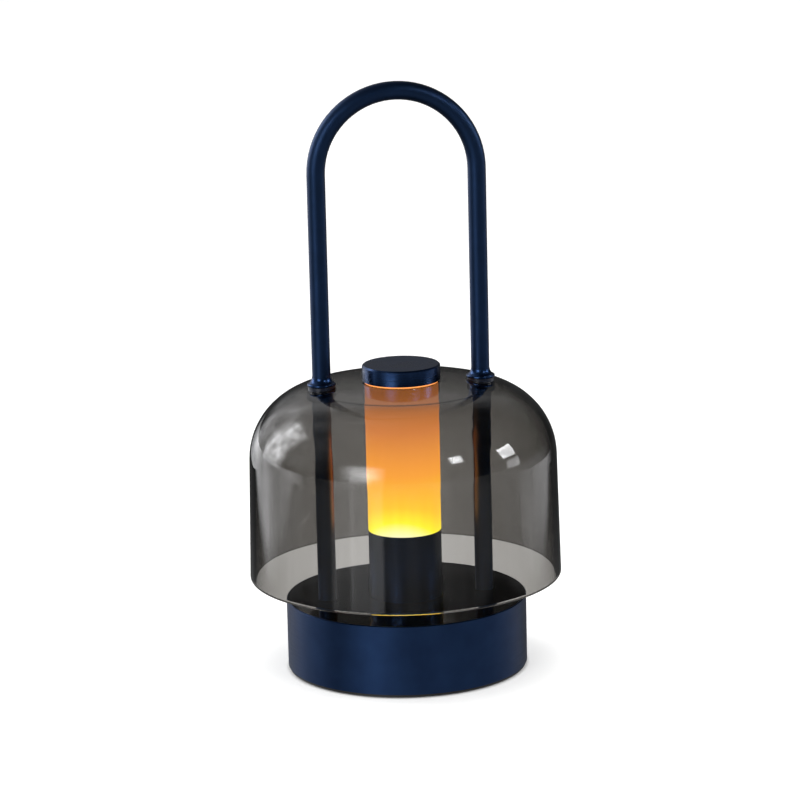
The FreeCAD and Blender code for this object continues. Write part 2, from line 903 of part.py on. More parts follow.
def make_cap():
    """The turned cap, with a spigot that plugs the diffuser and a groove for the sealing ring."""
    spigot = "diffuser_bore - slip_gap"
    groove = "diffuser_bore - ring_section"
    middle = "cap_level - spigot_depth / 2"
    half = "(ring_section / 2 + slip_gap)"
    return turned(
        "cap",
        [
            ("0", "cap_level - spigot_depth"),
            (spigot, "cap_level - spigot_depth"),
            (spigot, f"{middle} - {half}"),
            (groove, f"{middle} - {half}"),
            (groove, f"{middle} + {half}"),
            (spigot, f"{middle} + {half}"),
            (spigot, "cap_level"),
            ("cap_diameter / 2", "cap_level"),
            ("cap_diameter / 2", "cap_top - cap_chamfer"),
            ("cap_diameter / 2 - cap_chamfer", "cap_top"),
            ("0", "cap_top"),
        ],
    )


def make_cap_seal():
    """The rubber ring in the cap's groove."""
    body = new_body("cap_seal")
    sketch = new_sketch(body, "XZ")
    draw_circle(
        sketch, "diffuser_bore - ring_section / 2", "cap_level - spigot_depth / 2", "ring_section"
    )
    feature = body.newObject("PartDesign::Revolution", "cap_seal_revolution")
    feature.Profile = sketch
    feature.ReferenceAxis = (sketch, ["V_Axis"])
    feature.Angle = 360
    doc.recompute()
    return body


# ---------------------------------------------------------------- glass bell


def make_glass_shade():
    """The blown bell: one wall thickness from the column's hole, over the shoulder, to the rim."""
    body = turned(
        "glass_shade",
        [
            ("column_hole", "hole_level", "crown_radius", 1),
            ("column_hole", "hole_under"),
            (
                "inner_crown * crown_slope_x",
                "crown_centre + inner_crown * crown_slope_z",
                "inner_crown",
                -1,
            ),
            (
                "shoulder_x + inner_shoulder * cos(wall_flare)",
                "shoulder_z + inner_shoulder * sin(wall_flare)",
                "inner_shoulder",
                -1,
            ),
            (
                "rim_radius - glass_thickness * cos(wall_flare)",
                "rim_level - glass_thickness * sin(wall_flare)",
            ),
            ("rim_radius", "rim_level"),
            (
                "shoulder_x + shoulder_radius * cos(wall_flare)",
                "shoulder_z + shoulder_radius * sin(wall_flare)",
            ),
            (
                "crown_radius * crown_slope_x",
                "crown_centre + crown_radius * crown_slope_z",
                "shoulder_radius",
                1,
            ),
        ],
    )
    rim_edges = [
        ("rim_radius", "rim_level"),
        (
            "rim_radius - glass_thickness * cos(wall_flare)",
            "rim_level - glass_thickness * sin(wall_flare)",
        ),
    ]
    round_off(body, "(glass_thickness - rim_flat) / 2", rim_edges)
    sketch = new_sketch(body, "XY", level="crown_top")
    draw_circle(sketch, "leg_reach", "0", "2 * leg_hole_radius")
    mirror_of(body, [pocket(body, sketch, "shoulder_radius")])
    return body


# ---------------------------------------------------------------- collars that clamp the glass


def make_upper_collars():
    """A turned flange on each leg: a rounded edge, and a neck that sweeps up into the tube."""
    edge = "collar_diameter / 2"
    top = "collar_level + collar_edge"
    return turned_pair(
        "upper_collars",
        [
            ("tube_radius + thread_gap", "collar_level"),
            (edge + " - collar_round", "collar_level"),
            (edge, "collar_level + collar_round", "collar_round", 1),
            (edge, top + " - collar_round"),
            (edge + " - collar_round", top, "collar_round", 1),
            ("tube_radius + collar_lip", top + " + collar_neck", "collar_sweep", -1),
            ("tube_radius + thread_gap", top + " + collar_neck"),
        ],
    )


def make_clamp_rings():
    """The rings below the glass, each drilled at the rear for the screw that locks it."""
    edge = "collar_diameter / 2 - collar_lip"
    low = "clamp_level - clamp_ring_height"
    body = new_body("clamp_rings")
    ring = turn(
        body,
        [
            ("tube_radius + thread_gap", low),
            (edge + " - collar_round", low),
            (edge, low + " + collar_round", "collar_round", 1),
            (edge, "clamp_level - collar_round"),
            (edge + " - collar_round", "clamp_level", "collar_round", 1),
            ("tube_radius + thread_gap", "clamp_level"),
        ],
        aside="leg_reach",
    )
    sketch = new_sketch(body, "XZ")
    draw_circle(sketch, "leg_reach", "clamp_level - clamp_ring_height / 2", "grub_screw")
    hole = pocket(body, sketch, "collar_diameter")
    mirror_of(body, [ring, hole])
    return body


def make_grub_screws():
    """The headless screws that lock the clamp rings, with hexagon sockets."""
    body = new_body("grub_screws")
    level = "clamp_level - clamp_ring_height / 2"
    outer = "(collar_diameter / 2 - collar_lip * 2)"
    sketch = new_sketch(body, "XZ", level=f"-{outer}")
    draw_circle(sketch, "leg_reach", level, "grub_screw - 2 * thread_gap")
    shank = pad(body, sketch, f"{outer} - tube_radius")
    sketch = new_sketch(body, "XZ", level=f"-{outer}")
    draw_chain(sketch, hexagon("leg_reach", level, "grub_screw_key"))
    socket = pocket(body, sketch, f"({outer} - tube_radius) / 2", back=True)
    mirror_of(body, [shank, socket])
    return body


def make_gaskets(label, blank_low, blank_high, glass):
    """Rubber saddles on the legs, each with a lip in the glass's hole, shaped by the glass itself."""
    blank = turned_pair(
        label + "_blank",
        [
            ("tube_radius + slip_gap", blank_low),
            ("gasket_diameter / 2", blank_low),
            ("gasket_diameter / 2", blank_high),
            ("tube_radius + slip_gap", blank_high),
        ],
    )
    saddles = doc.addObject("Part::Cut", label)
    saddles.Label = label
    saddles.Base = blank
    saddles.Tool = glass
    doc.recompute()
    return saddles


# ---------------------------------------------------------------- handle


def make_handle():
    """One tube bent into an upturned U: two straight legs and a half-round arch."""
    body = new_body("handle")
    path = new_sketch(body, "XZ")
    draw_chain(
        path,
        [
            ("-leg_reach", "leg_bottom"),
            ("-leg_reach", "arch_level"),
            ("0", "arch_level + leg_reach", "leg_reach", -1),
            ("leg_reach", "arch_level", "leg_reach", -1),
            ("leg_reach", "leg_bottom"),
        ],
        closed=False,
    )
    section = new_sketch(body, "XY", level="leg_bottom")
    for size in ("tube_diameter", "2 * tube_bore"):
        draw_circle(section, "-leg_reach", "0", size)
    sweep = body.newObject("PartDesign::AdditivePipe", "handle_sweep")
    sweep.Profile = section
    sweep.Spine = path
    doc.recompute()
    return body


def make_handle_inserts():
    """Threaded plugs fixed in the ends of the legs."""
    return turned_pair(
        "handle_inserts",
        [
            ("leg_screw / 2", "leg_bottom"),
            ("tube_bore - slip_gap", "leg_bottom"),
            ("tube_bore - slip_gap", "leg_bottom + insert_length"),
            ("leg_screw / 2", "leg_bottom + insert_length"),
        ],
    )


def make_handle_washers():
    return turned_pair(
        "handle_washers",
        [
            ("leg_screw / 2 + screw_gap", "deck_under - leg_washer_thickness"),
            ("leg_washer / 2", "deck_under - leg_washer_thickness"),
            ("leg_washer / 2", "deck_under"),
            ("leg_screw / 2 + screw_gap", "deck_under"),
        ],
    )


def make_handle_screws():
    head_seat = "deck_under - leg_washer_thickness"
    return screws(
        "handle_screws",
        aside="leg_reach",
        count=LEGS,
        head="leg_screw_head",
        thread="leg_screw",
        low=f"{head_seat} - leg_screw_head_height",
        shank_low=head_seat,
        tip=f"{head_seat} + leg_screw_length",
        key="leg_screw_key",
    )


# ---------------------------------------------------------------- leads


def make_led_lead():
    """The lead from the board's upper socket, over the battery and up the column to the lights."""
    body = new_body("led_lead")
    path = new_sketch(body, "YZ")
    draw_chain(
        path,
        [
            ("socket_face", "lead_level"),
            ("lead_bend", "lead_level"),
            ("0", "lead_level + lead_bend", "lead_bend", -1),
            ("0", "tenon_level"),
        ],
        closed=False,
    )
    section = new_sketch(body, "XZ", level="-socket_face")
    draw_circle(section, "0", "lead_level", "lead_diameter")
    sweep = body.newObject("PartDesign::AdditivePipe", "led_lead_sweep")
    sweep.Profile = section
    sweep.Spine = path
    doc.recompute()
    return body


def make_battery_lead():
    """The short lead from the battery tray to the board's lower socket."""
    body = new_body("battery_lead")
    sketch = new_sketch(body, "XZ", level="-socket_face")
    draw_circle(sketch, "board_socket_aside", "socket_level", "lead_diameter")
    pad(body, sketch, "socket_face - tray_reach_y - tray_wall")
    return body


# ---------------------------------------------------------------- build, check and write


def build():
    """Makes every piece and gives back those that are written out."""
    glass = make_glass_shade()
    return [
        make_base_housing(),
        make_top_plate(),
        make_bottom_cover(),
        make_foot_ring(),
        make_ballast_plate(),
        make_cover_screws(),
        make_battery_holder(),
        make_battery_cells(),
        make_control_board(),
        make_board_components(),
        make_usb_c_socket(),
        make_push_switch(),
        make_switch_plunger(),
        make_power_button(),
        make_led_lead(),
        make_battery_lead(),
        make_column_sleeve(),
        make_column_screws(),
        make_heat_sink(),
        make_led_board(),
        make_led_emitters(),
        make_diffuser_tube(),
        make_cap(),
        make_cap_seal(),
        glass,
        make_upper_collars(),
        make_clamp_rings(),
        make_grub_screws(),
        make_gaskets("upper_gaskets", "seat_middle + slip_gap", "collar_level", glass),
        make_gaskets("lower_gaskets", "clamp_level", "seat_middle - slip_gap", glass),
        make_handle(),
        make_handle_inserts(),
        make_handle_washers(),
        make_handle_screws(),
    ]


def check(pieces):
    """Stops if any object failed or any piece is not sound."""
    faults = [o.Label for o in doc.Objects if {"Invalid", "Error"} & set(o.State)]
    faults += [p.Label for p in pieces if p.Shape.isNull() or not p.Shape.isValid()]
    if faults:
        raise ValueError("failed: " + ", ".join(faults))


def write(pieces):
    for piece in pieces:
        piece.Shape.exportStep(f"parts/{piece.Label}.step")
        count = len(piece.Shape.Solids)
        print(f"{piece.Label}: {count} solid(s), {piece.Shape.Volume / 1000:.2f} cm3")


pieces = build()
doc.recompute()
check(pieces)
write(pieces)
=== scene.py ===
"""Looks of the lantern table lamp: its finishes, a white studio with window light, and the camera."""

import math

import bpy
from mathutils import Matrix, Vector


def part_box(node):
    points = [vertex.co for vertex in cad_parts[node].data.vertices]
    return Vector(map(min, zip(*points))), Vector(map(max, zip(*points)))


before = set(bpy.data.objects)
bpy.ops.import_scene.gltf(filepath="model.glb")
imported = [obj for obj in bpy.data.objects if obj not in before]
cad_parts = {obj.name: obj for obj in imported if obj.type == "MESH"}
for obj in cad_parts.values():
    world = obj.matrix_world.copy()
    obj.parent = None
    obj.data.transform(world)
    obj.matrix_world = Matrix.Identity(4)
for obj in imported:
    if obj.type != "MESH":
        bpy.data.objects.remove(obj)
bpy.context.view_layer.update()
scene = bpy.context.scene
MM = 0.001

# ---------------------------------------------------------------- camera

# The lens, distance and turn that lay the lamp over its photograph. Azimuth 0 looks along +Y.
IMAGE_SIDE = 800
SENSOR = 36.0
FOCAL_PIXELS = 3491.85
CAMERA_DISTANCE = 1.9004
CAMERA_AZIMUTH = math.radians(-9.03)
CAMERA_RISE = math.radians(12.81)
AIM_HEIGHT = 0.150
LOOK_DOWN = math.radians(12.84)
PAN = math.radians(-0.03)
ROLL = math.radians(-1.36)


def make_camera():
    """The camera, with the slight roll that the picture has."""
    turn = Matrix.Rotation(CAMERA_AZIMUTH, 3, "Z")
    place = Vector((0, -math.cos(CAMERA_RISE), math.sin(CAMERA_RISE))) * CAMERA_DISTANCE
    place.z += AIM_HEIGHT
    level_view = Vector((math.sin(PAN), math.cos(PAN), 0)) * math.cos(LOOK_DOWN)
    ahead = level_view - Vector((0, 0, math.sin(LOOK_DOWN)))
    level = ahead.cross(Vector((0, 0, 1))).normalized()
    upright = level.cross(ahead)
    right = level * math.cos(ROLL) + upright * math.sin(ROLL)
    up = upright * math.cos(ROLL) - level * math.sin(ROLL)
    lens = bpy.data.cameras.new("camera")
    lens.sensor_width = SENSOR
    lens.lens = FOCAL_PIXELS * SENSOR / IMAGE_SIDE
    lens.clip_end = 50
    camera = bpy.data.objects.new("camera", lens)
    scene.collection.objects.link(camera)
    axes = Matrix((turn @ right, turn @ up, turn @ -ahead)).transposed()
    camera.matrix_world = Matrix.Translation(turn @ place) @ axes.to_4x4()
    scene.camera = camera


make_camera()
scene.view_settings.view_transform = "Standard"

# ---------------------------------------------------------------- helpers for materials


def linear(code):
    """A colour written as sRGB hex, in the linear values that shaders take."""
    channels = [int(code[i : i + 2], 16) / 255 for i in (1, 3, 5)]
    return [c / 12.92 if c <= 0.04045 else ((c + 0.055) / 1.055) ** 2.4 for c in channels] + [1.0]


def add(tree, kind, settings=None, links=None):
    """Adds a node. Settings go to its properties or sockets, and links into its sockets."""
    node = tree.nodes.new(kind)
    for name, value in (settings or {}).items():
        if isinstance(name, str) and hasattr(node, name):
            setattr(node, name, value)
        else:
            node.inputs[name].default_value = value
    for name, source in (links or {}).items():
        tree.links.new(source, node.inputs[name])
    return node


def new_material(name):
    """An empty finish: its material, node tree, shader and Object coordinates."""
    material = bpy.data.materials.new(name)
    material.use_nodes = True
    tree = material.node_tree
    place = add(tree, "ShaderNodeTexCoord").outputs["Object"]
    return material, tree, tree.nodes["Principled BSDF"], place


# ---------------------------------------------------------------- finishes

# the values that most of a noise lies between
NOISE_LOW, NOISE_HIGH = 0.3, 0.7
NOISE = {"From Min": NOISE_LOW, "From Max": NOISE_HIGH}


def anodised_aluminium(name, draw_lines, rough=0.34, low="#20365A", high="#243C62"):
    """Bead-blasted aluminium, dyed navy: a dark satin metal with fine grit and faint draw lines."""
    material, tree, shader, place = new_material(name)
    shader.inputs["Metallic"].default_value = 1.0
    # the sealed oxide over the dye is clear, and mirrors at a grazing angle
    shader.inputs["Coat Weight"].default_value = 0.1
    shader.inputs["Coat Roughness"].default_value = rough - 0.08
    shader.inputs["Coat IOR"].default_value = 1.5
    # the dye takes a little unevenly over some 12 mm
    dye = add(tree, "ShaderNodeTexNoise", {"Scale": 1 / (12 * MM), "Detail": 2}, {"Vector": place})
    shades = add(tree, "ShaderNodeValToRGB", links={"Fac": dye.outputs["Fac"]})
    shades.color_ramp.elements[0].position = NOISE_LOW
    shades.color_ramp.elements[0].color = linear(low)
    shades.color_ramp.elements[1].position = NOISE_HIGH
    shades.color_ramp.elements[1].color = linear(high)
    tree.links.new(shades.outputs["Color"], shader.inputs["Base Color"])
    # drawing and turning leave lines 0.8 mm apart, nearly blasted away
    along = add(tree, "ShaderNodeMapping", {"Scale": draw_lines}, {"Vector": place})
    lines = {"Scale": 1 / (0.8 * MM), "Detail": 3}
    drawn = add(tree, "ShaderNodeTexNoise", lines, {"Vector": along.outputs["Vector"]})
    gloss = {**NOISE, "To Min": rough - 0.03, "To Max": rough + 0.05}
    gloss = add(tree, "ShaderNodeMapRange", gloss, {"Value": drawn.outputs["Fac"]})
    tree.links.new(gloss.outputs["Result"], shader.inputs["Roughness"])
    # blasting grit of 0.1 mm is finer than a pixel, so it is drawn at 0.35 mm
    grit = add(tree, "ShaderNodeTexNoise", {"Scale": 1 / (0.35 * MM), "Detail": 1}, {"Vector": place})
    relief = add(tree, "ShaderNodeBump", {"Distance": 0.003 * MM}, {"Height": grit.outputs["Fac"]})
    tree.links.new(relief.outputs["Normal"], shader.inputs["Normal"])
    return material


def polished_lacquer(name):
    """A disc sprayed black and polished: deep black, with sharp but slightly hazy reflections."""
    material, tree, shader, place = new_material(name)
    # polishing leaves hazier patches of some 14 mm
    haze = add(tree, "ShaderNodeTexNoise", {"Scale": 1 / (14 * MM), "Detail": 4}, {"Vector": place})
    shades = add(tree, "ShaderNodeValToRGB", links={"Fac": haze.outputs["Fac"]})
    shades.color_ramp.elements[0].color = linear("#090A0C")
    shades.color_ramp.elements[1].color = linear("#121315")
    tree.links.new(shades.outputs["Color"], shader.inputs["Base Color"])
    gloss = {**NOISE, "To Min": 0.06, "To Max": 0.12}
    gloss = add(tree, "ShaderNodeMapRange", gloss, {"Value": haze.outputs["Fac"]})
    tree.links.new(gloss.outputs["Result"], shader.inputs["Roughness"])
    # and the spray an orange-peel relief of 3 mm
    peel = add(tree, "ShaderNodeTexNoise", {"Scale": 1 / (3 * MM), "Detail": 0}, {"Vector": place})
    relief = add(tree, "ShaderNodeBump", {"Distance": 0.0005 * MM}, {"Height": peel.outputs["Fac"]})
    tree.links.new(relief.outputs["Normal"], shader.inputs["Normal"])
    return material


def moulded(name, low, high, rough, grain=0.5, depth=0.01):
    """Moulded plastic or rubber: an even, spark-eroded grain in colour, gloss and relief."""
    material, tree, shader, place = new_material(name)
    texture = {"Scale": 1 / (grain * MM), "Detail": 2}
    texture = add(tree, "ShaderNodeTexNoise", texture, {"Vector": place})
    shades = add(tree, "ShaderNodeValToRGB", links={"Fac": texture.outputs["Fac"]})
    shades.color_ramp.elements[0].position = NOISE_LOW
    shades.color_ramp.elements[0].color = linear(low)
    shades.color_ramp.elements[1].position = NOISE_HIGH
    shades.color_ramp.elements[1].color = linear(high)
    tree.links.new(shades.outputs["Color"], shader.inputs["Base Color"])
    gloss = {**NOISE, "To Min": rough - 0.05, "To Max": rough + 0.05}
    gloss = add(tree, "ShaderNodeMapRange", gloss, {"Value": texture.outputs["Fac"]})
    tree.links.new(gloss.outputs["Result"], shader.inputs["Roughness"])
    relief = add(tree, "ShaderNodeBump", {"Distance": depth * MM}, {"Height": texture.outputs["Fac"]})
    tree.links.new(relief.outputs["Normal"], shader.inputs["Normal"])
    return material


def turned_metal(name, low, high, rough):
    """Bare or plated metal, turned or drawn: fine rings round the Z axis in tone and gloss."""
    material, tree, shader, place = new_material(name)
    shader.inputs["Metallic"].default_value = 1.0
    # a ring every 0.3 mm of height, as long as the piece is round
    rings = add(tree, "ShaderNodeMapping", {"Scale": (0.15, 0.15, 1)}, {"Vector": place})
    marks = {"Scale": 1 / (0.3 * MM), "Detail": 3}
    marks = add(tree, "ShaderNodeTexNoise", marks, {"Vector": rings.outputs["Vector"]})
    shades = add(tree, "ShaderNodeValToRGB", links={"Fac": marks.outputs["Fac"]})
    shades.color_ramp.elements[0].position = NOISE_LOW
    shades.color_ramp.elements[0].color = linear(low)
    shades.color_ramp.elements[1].position = NOISE_HIGH
    shades.color_ramp.elements[1].color = linear(high)
    tree.links.new(shades.outputs["Color"], shader.inputs["Base Color"])
    gloss = {**NOISE, "To Min": rough - 0.06, "To Max": rough + 0.08}
    gloss = add(tree, "ShaderNodeMapRange", gloss, {"Value": marks.outputs["Fac"]})
    tree.links.new(gloss.outputs["Result"], shader.inputs["Roughness"])
    relief = add(tree, "ShaderNodeBump", {"Distance": 0.003 * MM}, {"Height": marks.outputs["Fac"]})
    tree.links.new(relief.outputs["Normal"], shader.inputs["Normal"])
    return material


# Share of the light that one wall lets through, besides what its two faces mirror.
SMOKE_PASSES = (0.325, 0.315, 0.296)
SMOKE_DENSITY = 400.0
GLASS_WALL = 3 * MM


def blown_glass(name):
    """Soda-lime glass, smoked grey through its thickness and blown: clear, glossy, a little wavy."""
    material, tree, shader, place = new_material(name)
    shader.inputs["Base Color"].default_value = (1, 1, 1, 1)
    shader.inputs["Transmission Weight"].default_value = 1.0
    shader.inputs["IOR"].default_value = 1.5
    shader.inputs["Roughness"].default_value = 0.0
    tint = [1 + math.log(share) / (GLASS_WALL * SMOKE_DENSITY) for share in SMOKE_PASSES] + [1.0]
    smoke = add(tree, "ShaderNodeVolumeAbsorption", {"Color": tint, "Density": SMOKE_DENSITY})
    tree.links.new(smoke.outputs["Volume"], tree.nodes["Material Output"].inputs["Volume"])
    # blowing leaves waves some 30 mm long
    waves = add(tree, "ShaderNodeTexNoise", {"Scale": 1 / (30 * MM), "Detail": 0}, {"Vector": place})
    relief = add(tree, "ShaderNodeBump", {"Distance": 0.02 * MM}, {"Height": waves.outputs["Fac"]})
    tree.links.new(relief.outputs["Normal"], shader.inputs["Normal"])
    return material


# Glow of the lit tube, by share of the way from its joint with the sleeve up to the cap.
TUBE_STRENGTH = 3.4
TUBE_GLOW = (
    (0.0, "#FFFFCC"),
    (0.05, "#FFFF99"),
    (0.1, "#FFF833"),
    (0.2, "#FFCC33"),
    (0.4, "#F8A440"),
    (0.7, "#D88548"),
    (1.0, "#B87038"),
)
# Round its foot the light is brightest at two places, one of them at this angle. Between them the
# glow stands lower by this share of the height, and higher up it is even.
HOT_SPOTS = 2
HOT_SPOT_ANGLE = math.radians(-107.4)
HOT_SPOT_DIP = 0.13
EVEN_ABOVE = 0.35


def lit_acrylic(name):
    """Frosted amber acrylic over a light that sits at its foot: it glows yellow, then orange."""
    material, tree, shader, place = new_material(name)
    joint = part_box("column_sleeve")[1][2]
    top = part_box("diffuser_tube")[1][2]
    axes = add(tree, "ShaderNodeSeparateXYZ", links={"Vector": place})
    share = {"From Min": joint, "From Max": top}
    share = add(tree, "ShaderNodeMapRange", share, {"Value": axes.outputs["Z"]})
    share = share.outputs["Result"]
    angle = {0: axes.outputs["Y"], 1: axes.outputs["X"]}
    angle = add(tree, "ShaderNodeMath", {"operation": "ARCTAN2"}, angle).outputs[0]
    wave = {"operation": "MULTIPLY_ADD", 1: HOT_SPOTS, 2: -HOT_SPOTS * HOT_SPOT_ANGLE}
    wave = add(tree, "ShaderNodeMath", wave, {0: angle}).outputs[0]
    wave = add(tree, "ShaderNodeMath", {"operation": "COSINE"}, {0: wave}).outputs[0]
    dip = {"From Min": 1, "From Max": -1, "To Max": HOT_SPOT_DIP}
    dip = add(tree, "ShaderNodeMapRange", dip, {"Value": wave}).outputs["Result"]
    near = {"From Max": EVEN_ABOVE, "To Min": 1, "To Max": 0}
    near = add(tree, "ShaderNodeMapRange", near, {"Value": share}).outputs["Result"]
    lowered = {0: dip, 1: near, 2: share}
    lowered = add(tree, "ShaderNodeMath", {"operation": "MULTIPLY_ADD"}, lowered).outputs[0]
    glow = add(tree, "ShaderNodeValToRGB", links={"Fac": lowered})
    stops = glow.color_ramp.elements
    stops[0].color = linear(TUBE_GLOW[0][1])
    stops[1].color = linear(TUBE_GLOW[-1][1])
    for height, code in TUBE_GLOW[1:-1]:
        stops.new(height).color = linear(code)
    shader.inputs["Base Color"].default_value = linear("#7A4A24")
    shader.inputs["Roughness"].default_value = 0.45
    shader.inputs["Emission Strength"].default_value = TUBE_STRENGTH
    tree.links.new(glow.outputs["Color"], shader.inputs["Emission Color"])
    return material


def lit_phosphor(name):
    """The yellow phosphor of a light emitter, glowing, with grains of 0.3 mm."""
    material, tree, shader, place = new_material(name)
    grains = {"Scale": 1 / (0.3 * MM), "Detail": 1}
    grains = add(tree, "ShaderNodeTexNoise", grains, {"Vector": place})
    shades = add(tree, "ShaderNodeValToRGB", links={"Fac": grains.outputs["Fac"]})
    shades.color_ramp.elements[0].color = linear("#FFC45A")
    shades.color_ramp.elements[1].color = linear("#FFF0C0")
    tree.links.new(shades.outputs["Color"], shader.inputs["Emission Color"])
    shader.inputs["Emission Strength"].default_value = 12.0
    shader.inputs["Roughness"].default_value = 0.6
    return material


# how far the draw lines are stretched: round the drum, or along the legs
ROUND_THE_DRUM = (0.06, 0.06, 1)
ALONG_THE_TUBE = (1, 1, 0.05)
navy_drum = anodised_aluminium("anodised_navy_drum", ROUND_THE_DRUM)
navy_turned = anodised_aluminium("anodised_navy_turned", ROUND_THE_DRUM, 0.28)
navy_tube = anodised_aluminium("anodised_navy_tube", ALONG_THE_TUBE, 0.45, "#192D4A", "#1C3151")
rubber = moulded("silicone_rubber_black", "#101011", "#171718", 0.6)
abs_plastic = moulded("abs_moulded_black", "#131314", "#1B1B1D", 0.5)
zinc = turned_metal("zinc_plated_steel", "#9A9DA0", "#B9BCBF", 0.32)

FINISHES = {
    "base_housing": navy_drum,
    "column_sleeve": navy_drum,
    "cap": navy_turned,
    "power_button": navy_turned,
    "upper_collars": navy_turned,
    "clamp_rings": navy_turned,
    "handle": navy_tube,
    "top_plate": polished_lacquer("black_lacquer_polished"),
    "bottom_cover": abs_plastic,
    "battery_holder": abs_plastic,
    "foot_ring": rubber,
    "cap_seal": rubber,
    "upper_gaskets": moulded("silicone_rubber_navy", "#161D2C", "#1B2233", 0.35),
    "lower_gaskets": rubber,
    "glass_shade": blown_glass("smoked_glass_blown"),
    "diffuser_tube": lit_acrylic("amber_acrylic_frosted"),
    "led_emitters": lit_phosphor("light_emitter_phosphor"),
    "led_board": moulded("solder_mask_white", "#DCDCD8", "#E6E6E2", 0.5, 2.0),
    "heat_sink": turned_metal("aluminium_turned", "#BFC1C4", "#D0D2D4", 0.3),
    "ballast_plate": zinc,
    "cover_screws": zinc,
    "column_screws": zinc,
    "grub_screws": zinc,
    "handle_screws": zinc,
    "handle_washers": zinc,
    "handle_inserts": turned_metal("brass_turned", "#B08D3F", "#C8A552", 0.28),
    "usb_c_socket": turned_metal("nickel_plated_shell", "#A9A59C", "#BDB9B0", 0.25),
    "battery_cells": moulded("shrink_sleeve_blue", "#1D4F8C", "#235A9C", 0.4, 2.0),
    "control_board": moulded("solder_mask_green", "#0F4A2A", "#145A34", 0.45, 2.0),
    "board_components": moulded("epoxy_moulded_black", "#1A1A1B", "#222224", 0.55, 0.8),
    "push_switch": moulded("nylon_moulded_black", "#161617", "#1D1D1F", 0.5, 0.8),
    "switch_plunger": moulded("nylon_moulded_grey", "#2A2A2C", "#323235", 0.45, 0.8),
    "led_lead": moulded("lead_cover_black", "#121213", "#1A1A1C", 0.5, 1.5),
    "battery_lead": moulded("lead_cover_red", "#7A1512", "#8E1B17", 0.5, 1.5),
}
for node_name, finish in FINISHES.items():
    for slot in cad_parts[node_name].material_slots:
        slot.material = finish

# ---------------------------------------------------------------- studio

# Light of the room that the metal and the glass mirror. Azimuths run from the front, positive
# towards +X.
ROOM_LIGHT = 0.05
# the pale wall behind on the left: azimuth, elevation, strength, cosine at which it ends
WALL = (-130, 30, 0.5, 0.45)
# the sine of the elevation up to which the wall fades out
WALL_FOOT = 0.2
# the table near the lamp, which only steep faces mirror: azimuth it leans to, even part, lean
TABLE = (10, 0.14, 0.34)
TABLE_EDGE = math.sin(math.radians(-15.5))
TABLE_BLUR = 0.03
# the room's light is uneven over some 15 degrees
CLUTTER = {"Scale": 4.0, "Detail": 3}
CLUTTER_RANGE = {"From Min": 0.35, "From Max": 0.65, "To Min": 0.7, "To Max": 1.3}
# Windows and bright strips: azimuth, elevation, half width and half height as tangents, softness
# of the sides and of the ends, strength, and how far its light is broken up.
WINDOWS = (
    (-37, 5, 0.22, 0.35, 0.03, 0.02, 1.0, 0),
    (-41, 13, 0.20, 0.16, 0.14, 0.14, 6.0, 0),
    (34, 29, 0.08, 0.08, 0.03, 0.03, 20.0, 0),
    (79.4, 19.5, 0.115, 0.11, 0.01, 0.01, 16.0, 0),
    (81, 5, 0.12, 0.08, 0.02, 0.02, 4.0, 0),
    (-125, 19, 0.20, 0.36, 0.10, 0.08, 5.0, 0.3),
    (-145, 15, 0.30, 0.35, 0.10, 0.10, 0.7, 0.3),
    (175, 34, 0.90, 0.20, 0.40, 0.12, 0.15, 0),
    (-56, -7, 0.14, 0.125, 0.04, 0.01, 0.8, 0),
    (-75, -7, 0.50, 0.125, 0.30, 0.01, 0.2, 0),
    (-103, -7, 0.20, 0.125, 0.06, 0.01, 0.5, 0),
    (-130, -7, 0.70, 0.125, 0.30, 0.01, 1.5, 0),
    (-5, -7, 0.45, 0.125, 0.15, 0.01, 0.2, 0),
    (38, -7, 0.45, 0.125, 0.15, 0.01, 0.25, 0),
    (90, -7, 0.50, 0.125, 0.30, 0.01, 0.4, 0),
    (108, -11, 0.40, 0.055, 0.15, 0.01, 0.8, 0),
)
# a window's light is broken up over some 6 degrees
MOTTLE = {"Scale": 9.0, "Detail": 5}
MOTTLE_RANGE = {"From Min": 0.4, "From Max": 0.6}


def towards(azimuth, elevation):
    """The direction at an azimuth from the front, positive towards +X, and an elevation."""
    a, e = math.radians(azimuth), math.radians(elevation)
    return Vector((math.sin(a) * math.cos(e), -math.cos(a) * math.cos(e), math.sin(e)))


def wall_light(tree, ray, height):
    """The pale wall, which fades out at its sides and towards its foot."""
    azimuth, elevation, strength, end = WALL
    facing = {"operation": "DOT_PRODUCT", 1: towards(azimuth, elevation)}
    facing = add(tree, "ShaderNodeVectorMath", facing, {0: ray}).outputs["Value"]
    sides = {"From Min": end, "To Max": strength}
    sides = add(tree, "ShaderNodeMapRange", sides, {"Value": facing}).outputs["Result"]
    foot = {"interpolation_type": "SMOOTHSTEP", "From Max": WALL_FOOT}
    foot = add(tree, "ShaderNodeMapRange", foot, {"Value": height}).outputs["Result"]
    return add(tree, "ShaderNodeMath", {"operation": "MULTIPLY"}, {0: sides, 1: foot}).outputs[0]


def table_light(tree, ray, height):
    """The table, brighter on the side that it leans to, and there only below its edge."""
    azimuth, even, lean = TABLE
    facing = {"operation": "DOT_PRODUCT", 1: towards(azimuth, 0)}
    facing = add(tree, "ShaderNodeVectorMath", facing, {0: ray}).outputs["Value"]
    top = {"To Min": even, "To Max": even + lean}
    top = add(tree, "ShaderNodeMapRange", top, {"Value": facing}).outputs["Result"]
    edge = {"From Min": TABLE_EDGE + TABLE_BLUR, "From Max": TABLE_EDGE - TABLE_BLUR}
    edge["interpolation_type"] = "SMOOTHSTEP"
    edge = add(tree, "ShaderNodeMapRange", edge, {"Value": height}).outputs["Result"]
    return add(tree, "ShaderNodeMath", {"operation": "MULTIPLY"}, {0: top, 1: edge}).outputs[0]


